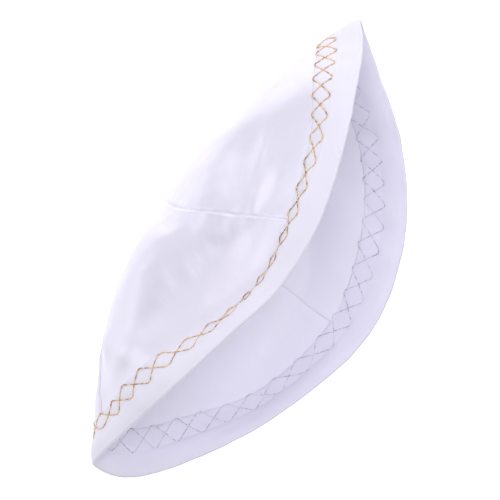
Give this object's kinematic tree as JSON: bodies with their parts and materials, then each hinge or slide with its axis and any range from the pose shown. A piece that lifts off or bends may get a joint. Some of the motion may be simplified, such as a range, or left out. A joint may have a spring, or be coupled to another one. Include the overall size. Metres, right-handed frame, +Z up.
{
  "type": "kippah skullcap",
  "caption": "Soft satin skullcap lying open on its side: triangular crown panels with a matte lining, and a hem binding folded over the rim.",
  "frame": {"origin": "middle of the cap's box on the surface that it lies on", "axes": "+Z up, +X along the cap from its rounded end to its sharp end, and the opening faces -Y"},
  "size_m": [0.2152, 0.103, 0.1122],
  "materials": {
    "satin": "smooth satin weave with a soft sheen",
    "lining": "matte plain weave",
    "binding": "folded satin with a soft sheen",
    "gold_thread": "twisted metallic thread",
    "silver_thread": "twisted metallic thread"
  },
  "bodies": {
    "root": {"crown_panel_upper_right": "satin", "crown_panel_lower_right": "satin", "crown_panel_lower_left": "satin", "crown_panel_upper_left": "satin", "lining_panel_upper_right": "lining", "lining_panel_lower_right": "lining", "lining_panel_lower_left": "lining", "lining_panel_upper_left": "lining", "rim_binding": "binding"}
  },
  "joints": []
}
